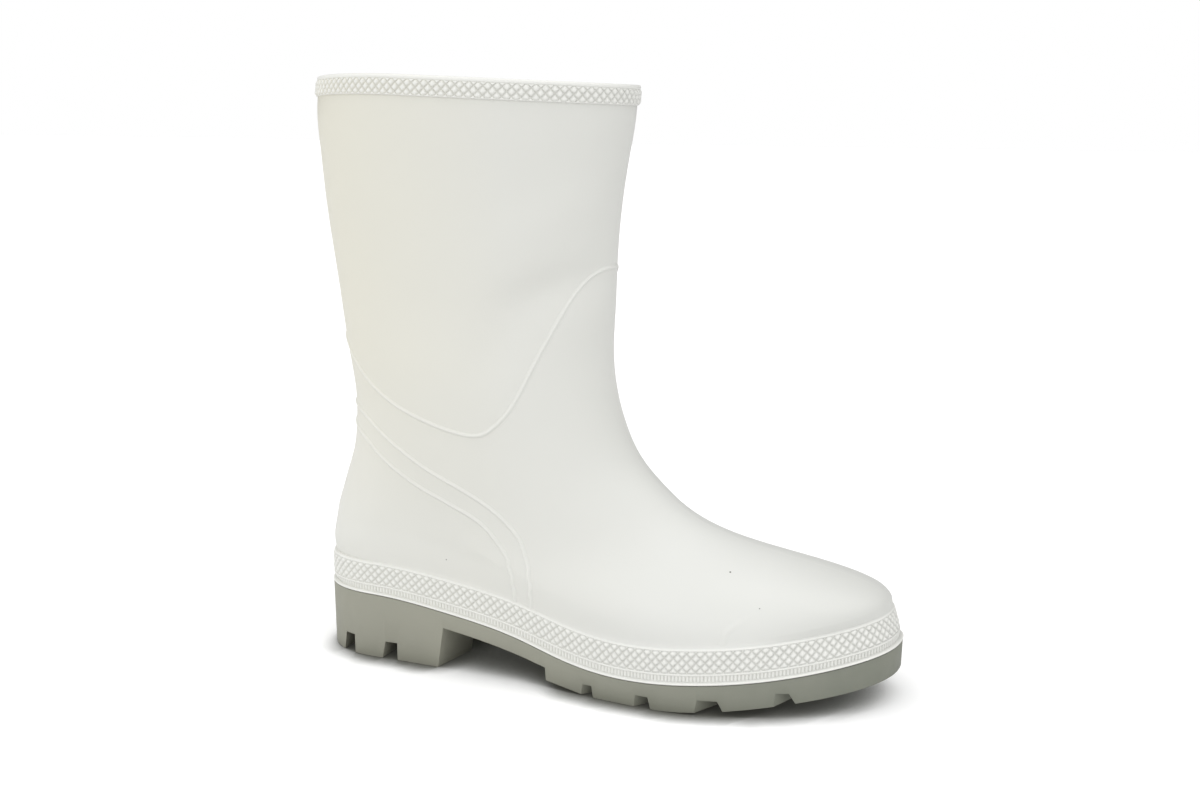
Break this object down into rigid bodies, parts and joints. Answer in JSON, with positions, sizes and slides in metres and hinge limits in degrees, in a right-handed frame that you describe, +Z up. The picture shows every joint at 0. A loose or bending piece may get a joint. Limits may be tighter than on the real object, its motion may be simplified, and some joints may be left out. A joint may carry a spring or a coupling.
{
  "type": "pull-on work boot",
  "caption": "Short pull-on work boot for the right foot: hollow moulded white upper with knurled collar, foxing band and raised beads, on a grey lugged sole with a block heel.",
  "frame": {"origin": "on the floor under the middle of the boot's box", "axes": "+X towards the toe, +Y towards the inner (medial) side, +Z up"},
  "size_m": [0.287, 0.1076, 0.2797],
  "materials": {
    "white_pvc": "satin moulded flexible vinyl",
    "grey_pvc": "matt moulded flexible vinyl",
    "sock_cloth": "woven sock cloth"
  },
  "bodies": {
    "root": {"upper": "white_pvc", "outsole": "grey_pvc", "insole": "sock_cloth"}
  },
  "joints": []
}
